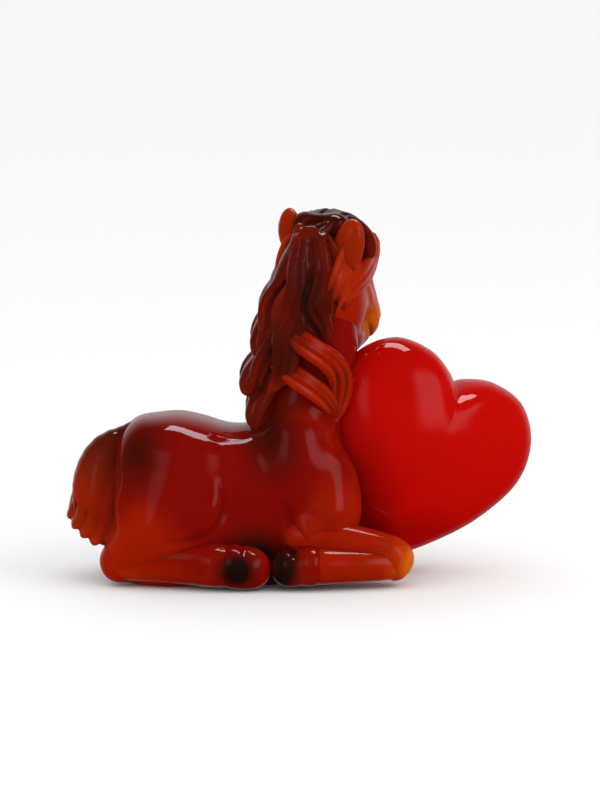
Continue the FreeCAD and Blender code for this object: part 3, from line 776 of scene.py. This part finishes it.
# half outline from the tip to the cleft, as shares of the width and height
half = [(0.0, 0.0), (0.10, 0.072), (0.225, 0.19), (0.385, 0.40), (0.488, 0.64), (0.462, 0.84), (0.34, 0.975),
        (0.175, 1.0), (0.05, 0.955), (0.0, 0.91)]
rows = smooth_path(half, ROUND_STEPS // 2 + 1)
outline = np.vstack([rows, rows[-2:0:-1] * (-1, 1)])
outline = (outline - (0, 0.56)) * (HEART_WIDTH, HEART_HEIGHT)
angle = np.arctan2(outline[:, 0], -outline[:, 1])
oval = np.stack([0.46 * HEART_WIDTH * np.sin(angle), -0.45 * HEART_HEIGHT * np.cos(angle)], 1)

# rings from the back of the heart to its front: an oval at first, and the full outline at the rim
count = len(outline)
points = [np.array([[0, 0, -0.5 * HEART_DEPTH]])]
for i in range(1, RISE_STEPS):
    a = math.pi * (i / RISE_STEPS - 0.5)
    share = math.cos(a) ** 0.92
    keep = share**2.2
    ring = share * (keep * outline + (1 - keep) * oval)
    depth = 0.5 * HEART_DEPTH * math.copysign(abs(math.sin(a)) ** 0.95, a)
    cleft = np.exp(-((outline[:, 0] / CLEFT_WIDTH) ** 2)) * (outline[:, 1] > 0) * share**5
    points.append(np.column_stack([ring, depth * (1 - CLEFT_DEPTH * cleft)]))
points.append(np.array([[0, 0, 0.5 * HEART_DEPTH]]))
points = np.vstack(points)
back_pole, front_pole = 0, len(points) - 1
faces = []
for k in range(count):
    m = (k + 1) % count
    faces.append([back_pole, 1 + m, 1 + k])
    for i in range(RISE_STEPS - 2):
        row, above = 1 + i * count, 1 + (i + 1) * count
        faces.append([row + k, row + m, above + m, above + k])
    faces.append([front_pole - count + k, front_pole - count + m, front_pole])

yaw, lean = math.radians(HEART_YAW), math.radians(HEART_LEAN)
flat_way = np.array([math.cos(yaw), math.sin(yaw), 0])
through = np.array([-math.sin(yaw), math.cos(yaw), 0])
across = flat_way * math.cos(lean) - np.array([0, 0, math.sin(lean)])
rise = flat_way * math.sin(lean) + np.array([0, 0, math.cos(lean)])
points = points[:, :1] * across + points[:, 1:2] * rise + points[:, 2:] * through
heart_low, heart_high = corners("heart")
points += (heart_low + heart_high) / 2 - (points.min(0) + points.max(0)) / 2 + (0.5, 0, 0)
# painted shade darkens the heart's left side, where it leans against the chest; the red glass's smoke colour
# is that shade
make_piece("red_heart", points, faces, red, "red_glass", ["heart"], None,
           lambda p: 0.6 * near(p, (heart_low[0] + 4, -2, 14), (12, 22, 26)))

# ---- mane -----------------------------------------------------------------------------------------
# Hair pressed and tooled in broad wavy locks: a crest down the back of the neck, a curtain on each
# side, and two locks a side that sweep forward over the shoulder.  It is smoked darker than the body.
CRIMP, CRIMP_START = 0.94, 1.23     # the hair waves with height: radians per mm, and at height 0

# height, middle x, half length and half width of the mane around the neck
MANE_ROWS = np.array([
    (27.0, -1.6, 7.8, 8.8), (32.0, -1.6, 7.8, 8.8), (38.0, -1.5, 8.0, 8.4), (44.0, -1.0, 8.0, 8.0),
    (50.0, 0.3, 7.9, 7.6), (56.0, 1.9, 6.9, 7.2), (62.0, 2.6, 6.2, 6.4), (66.5, 3.8, 3.6, 4.4),
])


def around_neck(side, lift, rows, wave=0.0, sink=0.0):
    """Rows of (x, z, half width) laid on one side of the mane, `lift` millimetres proud of it.

    `wave` sways them to and fro, as the hair was crimped, and `sink` buries their ends.
    """
    path = []
    for k, (x, z, radius) in enumerate(rows):
        phase = CRIMP * z + CRIMP_START
        x += wave * math.sin(phase)
        middle_x, long, wide = (np.interp(z, MANE_ROWS[:, 0], MANE_ROWS[:, i]) for i in (1, 2, 3))
        away = min(abs((x - middle_x) / long), 0.98)
        proud = lift + 0.35 * wave * math.cos(phase)
        proud -= sink * (1.0, 0.45, 0.1, 0.0)[min(k, len(rows) - 1 - k, 3)]
        path.append((x, side * (wide * math.sqrt(1 - away * away) + proud), z, radius))
    return path


def hair_lock(clay, path, out, flat=0.5, grooves=1, groove=0.5, soft=0.9):
    """Flattened lock with grooves tooled along it; rows of (x, y, z, half width), `out` faces away."""
    clay.rod(path, soft=soft, steps=22, up=out / np.linalg.norm(out), flat=flat)
    rows = smooth_path(path, 22)
    along = np.gradient(rows[:, :3], axis=0)
    across = np.cross(along, out)
    across /= np.linalg.norm(across, axis=1)[:, None] + 1e-6
    lift = np.cross(across, along)
    lift /= np.linalg.norm(lift, axis=1)[:, None] + 1e-6
    half_width = rows[:, 3:4]
    share = half_width / half_width.max()
    for k in range(grooves):
        s = 2 * (k + 1) / (grooves + 1) - 1
        offset = across * s * half_width + lift * flat * half_width * math.sqrt(1 - s * s)
        clay.rod(np.hstack([rows[:, :3] + offset, groove * share])[1:-1], soft=1.2, carve=True, steps=22)


smoked = glass_material("smoked_amber_glass", deep=(0.050, 0.0030, 0.0014), middle=(0.105, 0.0042, 0.0016),
                        thin=(0.20, 0.011, 0.002), edge=(0.30, 0.03, 0.003),
                        smoke=(0.016, 0.0055, 0.003), swirl=0.35, swirl_scale=110.0,
                        glow=(2.2, 0.5, 0.2), cloud=0.5)
tawny = glass_material("tawny_glass", deep=(0.17, 0.0042, 0.0008), middle=(0.27, 0.0080, 0.0008),
                       thin=(0.36, 0.020, 0.002), edge=(0.50, 0.07, 0.003),
                       smoke=(0.020, 0.0035, 0.0015), swirl=0.5)


def mane_smoke(p):
    """Darkest in the middle of the near side and round the whorl between the ears."""
    dark = near(p, (1.0, -9, 53), (5, 12, 15)) + near(p, (-3, -9, 42), (8, 12, 8)) + near(p, (4, -3, 66), 7)
    return 0.65 * dark + 0.6 * near(p, (1.0, 9, 53), (5, 12, 15))


crest_low, crest_high = corners("mane_crest")
crest_clay = Clay(crest_low - 4, crest_high + 3, 0.25)
# filling beneath the locks, from the poll to the withers
crest_clay.rod([(3.6, -0.2, 62.6, 3.4), (0.8, -0.4, 58.0, 4.8), (-0.8, -0.4, 51.5, 5.6),
                (-2.4, -0.4, 44.0, 5.8), (-3.4, -0.4, 37.0, 5.4), (-4.8, -0.4, 31.0, 4.2)], soft=0.5)
# x and z of each lock down the back of the neck, from its root to its tip, and their half widths
back_locks = [
    ((3.4, 65.4), (0.4, 63.2), (-2.6, 60.0), (-3.9, 57.2), (-3.7, 54.8)),
    ((1.8, 60.6), (-0.8, 57.2), (-3.4, 54.2), (-7.2, 50.6), (-7.2, 47.6)),
    ((-0.6, 56.0), (-3.6, 52.2), (-6.2, 49.2), (-8.9, 45.2), (-8.7, 41.2)),
    ((-2.4, 49.0), (-5.4, 44.6), (-7.8, 41.0), (-10.9, 37.5), (-10.3, 34.9)),
    ((-3.4, 43.0), (-6.0, 38.6), (-8.2, 35.0), (-9.8, 31.8), (-9.5, 28.8)),
    ((-4.0, 38.0), (-6.2, 34.4), (-7.6, 32.0), (-9.0, 30.0), (-9.4, 28.0)),
]
lock_widths = (1.4, 2.4, 2.9, 2.5, 0.6)
for n, rows in enumerate(back_locks):
    for side in (1, -1, 0):
        wave = 0.9 * (n % 2) - 0.45
        path = [(x + 1.2 + 0.4 * abs(side) * (k < 4), side * (2.6 + 0.6 * k) + wave, z + 0.4 * side, r)
                for k, ((x, z), r) in enumerate(zip(rows, lock_widths))]
        hair_lock(crest_clay, path, np.array([-1, 0.75 * side, 0.35]))
crest_clay.melt(1)
make_piece("mane_crest_locks", *crest_clay.skin(2), smoked, "smoked_amber", ["mane_crest"], crest_clay,
           mane_smoke)

# each lock on one side, from the back of the neck to the cheek: how proud of the neck it stands, then
# its x, z and half width
side_locks = [
    (-0.4, [(0.6, 64.6, 1.2), (-0.6, 60.0, 2.1), (-1.8, 55.4, 2.4), (-4.2, 50.8, 2.6), (-6.0, 46.0, 2.0),
            (-7.4, 42.0, 0.5)]),
    (-0.2, [(-1.6, 50.0, 1.6), (-3.2, 46.0, 2.5), (-5.0, 42.0, 2.8), (-6.6, 38.4, 2.4), (-8.0, 35.0, 0.8)]),
    (0.7, [(2.0, 64.0, 1.4), (0.6, 58.6, 2.5), (-0.4, 53.6, 2.9), (-0.9, 49.0, 2.9), (-1.8, 44.6, 2.7),
           (-3.4, 40.0, 2.3), (-5.2, 35.6, 0.9)]),
    (0.2, [(4.8, 63.2, 1.2), (5.6, 59.6, 1.7), (6.1, 56.2, 2.0), (6.3, 52.4, 2.0), (7.0, 48.8, 1.4),
           (8.0, 45.6, 0.4)]),
    (0.4, [(3.0, 64.2, 1.3), (2.8, 59.4, 2.4), (2.6, 55.0, 2.9), (2.6, 50.8, 2.8), (3.4, 46.6, 2.0),
           (4.8, 43.4, 0.5)]),
]
# x, distance out, z and half width of the two sweeping locks
sweeps = {
    "upper": [(-3.8, 6.6, 48.8, 1.2), (-1.8, 8.2, 46.8, 1.9), (0.4, 9.1, 44.7, 2.2), (3.0, 9.0, 42.9, 2.3),
              (5.6, 8.0, 40.9, 2.4), (7.2, 6.4, 38.2, 2.4), (7.4, 5.6, 35.2, 2.2), (6.8, 5.4, 32.2, 1.7),
              (6.2, 5.0, 29.4, 0.6)],
    "lower": [(-5.6, 5.4, 41.8, 1.2), (-3.4, 7.4, 40.2, 1.9), (-0.8, 8.6, 38.4, 2.2), (1.8, 8.6, 36.6, 2.2),
              (4.2, 7.6, 34.6, 2.0), (5.8, 6.0, 32.2, 1.5), (6.0, 5.0, 29.8, 0.5)],
}
for side, name in SIDES:
    low, high = corners("mane_curtain_" + name)
    clay = Clay(low - (4.5, 4, 6), high + (4, 4, 4), 0.25)
    for inner in ([(3.8, 62.0, 2.4), (3.4, 56.0, 3.6), (2.6, 50.0, 3.6), (1.0, 44.0, 2.6)],
                  [(0.6, 62.0, 2.4), (-1.6, 55.0, 3.4), (-3.0, 48.0, 3.4), (-4.2, 41.0, 2.4)]):
        clay.rod(around_neck(side, -2.0, inner), soft=0.5)
    for n, (lift, rows) in enumerate(side_locks):
        path = around_neck(side, lift, rows, wave=0.8, sink=0.9)
        hair_lock(clay, path, np.array([0.3 - 0.12 * n, side, 0.1]), flat=0.55, grooves=2)
    clay.melt(1)
    make_piece("mane_curtain_of_" + name, *clay.skin(2), smoked, "smoked_amber", ["mane_curtain_" + name],
               clay, mane_smoke)

    for place, rows in sweeps.items():
        node = "mane_" + place + "_lock_" + name
        low, high = corners(node)
        clay = Clay(low - 4, high + 4, 0.22)
        hair_lock(clay, mirror_path(rows, side), np.array([0.25, side, 0.3]), flat=0.42, grooves=2,
                  groove=0.4)
        clay.rod([(x - 0.3, side * (out - 1.6), z - 0.2, 0.9 * r) for x, out, z, r in rows], soft=1.0)
        clay.melt(1)
        make_piece("mane_" + place + "_sweep_" + name, *clay.skin(2), tawny, "smoked_amber", [node], clay,
                   lambda p: near(p, (-4.0, side * 8, 46), (8, 9, 10)))

# ---- forelock and cheek locks ---------------------------------------------------------------------
# The forelock springs from a whorl between the ears, as a glossy dark cap over the forehead; on each
# side one lock passes in front of the ear, over the eye and back under the cheek.
fore_clay = Clay((-10, -12, -8), (18, 12, 17), 0.22)
fore_clay.ball((-0.6, 0, 4.4), (5.6, 5.6, 4.4))
for side in (-1, 1):
    fore_clay.ball((-4.9, side * 3.0, 3.7), (2.6, 2.7, 2.6), soft=1.5)
# how far to the side each lock of the forelock bends, and how far along the nose it reaches
fan = [(-0.95, 4.2), (0.95, 4.2), (-0.62, 6.6), (0.62, 6.6), (-0.3, 9.0), (0.3, 9.0), (0.0, 10.6)]
for bend, reach in fan:
    path = [(-5.9, 2.2 * bend, 4.0, 1.4), (-2.8, 4.4 * bend, 8.0 - abs(bend), 2.2),
            (0.8, 6.4 * bend, 8.6 - 1.6 * abs(bend), 2.4),
            (0.6 * reach, 7.0 * bend, 7.0 - 1.8 * abs(bend), 1.9),
            (reach, 6.6 * bend, 4.9 - 1.4 * abs(bend), 0.4)]
    hair_lock(fore_clay, path, np.array([-0.1, 0.9 * bend, 1.0]))
fore_clay.melt(2)
make_piece("forelock_cap", *fore_clay.skin(2), smoked, "smoked_amber", ["forelock"], fore_clay,
           lambda p: 0.85 * near(p, (5, -1, 67), 12), head_turn, poll)

# along the nose, distance out, up and half width of the three bands of a cheek lock
bands = [
    [(-4.6, 4.0, 3.0, 1.2), (-3.0, 5.9, 0.2, 2.0), (-2.2, 5.9, -3.8, 2.1), (-1.2, 5.2, -7.4, 1.5),
     (0.4, 4.2, -10.0, 0.5)],
    [(3.6, 3.4, 4.2, 1.2), (2.6, 5.2, 2.0, 2.0), (1.0, 6.4, -0.8, 2.3), (0.2, 6.6, -3.8, 2.1),
     (0.2, 6.0, -6.8, 1.5), (2.0, 4.8, -9.4, 0.5)],
    [(1.6, 3.0, 9.2, 1.0), (4.8, 5.5, 8.5, 1.8), (5.8, 6.0, 5.4, 2.1), (4.6, 6.9, 1.8, 2.3),
     (3.2, 7.4, -2.2, 2.1), (2.4, 6.7, -6.2, 1.6), (3.8, 5.0, -9.4, 0.5)],
]
for side, name in SIDES:
    clay = Clay((-10, -13, -15), (16, 13, 14), 0.22)
    for rows in bands:
        hair_lock(clay, mirror_path(rows, side), np.array([0.1, side, 0.1]), flat=0.45, grooves=2, groove=0.3,
                  soft=1.4)
    clay.melt(1)
    make_piece("cheek_lock_of_" + name, *clay.skin(2), tawny, "smoked_amber", ["cheek_lock_" + name], clay,
               lambda p: 0.8 * near(p, (4, side * 6, 53), (5, 8, 8)), head_turn, poll)

# ---- tail -----------------------------------------------------------------------------------------
# A fan of broad amber locks, drawn out hot and bonded to the dock.  It falls over the rump and spreads
# to thin tips, made bright with painted light.
tail_low, tail_high = corners("tail")
tail_clay = Clay(tail_low - (4, 4, 4), tail_high + (4, 4, 3), 0.26)
dock = np.array([tail_high[0], 0, tail_high[2]])
tail_clay.rod([(dock[0] + 0.5, 0, dock[2] - 2.4, 2.4), (dock[0] - 4.0, -0.6, dock[2] - 6.4, 4.2),
               (dock[0] - 5.6, -1.6, dock[2] - 11.4, 5.0), (dock[0] - 5.4, -2.4, dock[2] - 16.0, 4.8),
               (dock[0] - 4.2, -3.0, dock[2] - 19.6, 3.0)], soft=0.5)
# each lock: its bearing round the dock in degrees, then the reach and drop of its tip
locks = [(46, 10.0, 14.6), (28, 11.4, 14.0), (-64, 9.2, 19.0), (10, 12.4, 14.0), (-46, 10.4, 19.4),
         (-8, 12.6, 15.2), (-34, 11.4, 18.2), (-21, 12.2, 16.8)]
# how far out and down along its own length each lock has come, and its half width
profile = [(0.02, 0.04, 1.2), (0.26, 0.16, 2.0), (0.54, 0.41, 2.8), (0.78, 0.66, 2.7), (0.93, 0.88, 2.2),
           (0.99, 1.0, 1.6)]
# a second layer beneath, a little shorter
under = [(bearing - 9, reach - 1.1, drop - 1.2) for bearing, reach, drop in locks[:2] + locks[3:]]
for bearing, reach, drop in under + locks:
    a = math.radians(bearing)
    away = np.array([-math.cos(a), math.sin(a), 0])
    path = [(*(dock + away * (out * (reach - 1.2) - 0.4) - (0, 0, down * drop + 1.2)), r)
            for out, down, r in profile]
    hair_lock(tail_clay, path, away + (0, 0, 0.45), flat=0.45, grooves=2, groove=0.26, soft=1.2)
tail_clay.melt(2)
# painted light brightens the near lower tips
make_piece("tail_fan", *tail_clay.skin(2), amber, "amber_glass", ["tail"], tail_clay,
           lambda p: 0.18 + 0.7 * near(p, dock + (-3, 0, -4), 14),
           light=lambda p: 0.4 * near(p, dock + (-9, -4, -22), 9))
